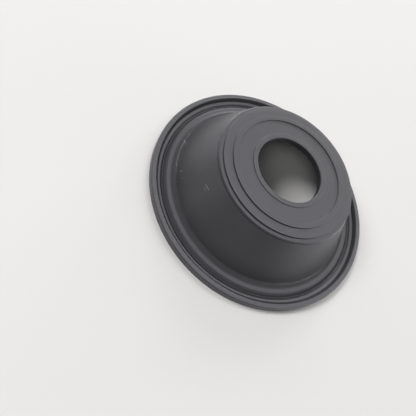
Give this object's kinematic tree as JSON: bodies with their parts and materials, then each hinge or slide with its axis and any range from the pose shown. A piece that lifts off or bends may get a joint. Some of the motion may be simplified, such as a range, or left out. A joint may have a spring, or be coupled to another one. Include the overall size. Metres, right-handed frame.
{
  "type": "carburettor slide diaphragm",
  "caption": "Moulded rubber diaphragm, hat shaped: beaded rim, convolution, thin tapered wall and a stepped crown with a central hole.",
  "frame": {"origin": "centre of the rim's underside, which is the face that it rests on", "axes": "+Z along the axis, from the rim's underside towards the crown; the form is one of revolution, so X and Y are free"},
  "size_m": [0.07, 0.07, 0.0166],
  "materials": {
    "rubber_black": "satin moulded rubber"
  },
  "bodies": {
    "root": {"diaphragm": "rubber_black"}
  },
  "joints": []
}
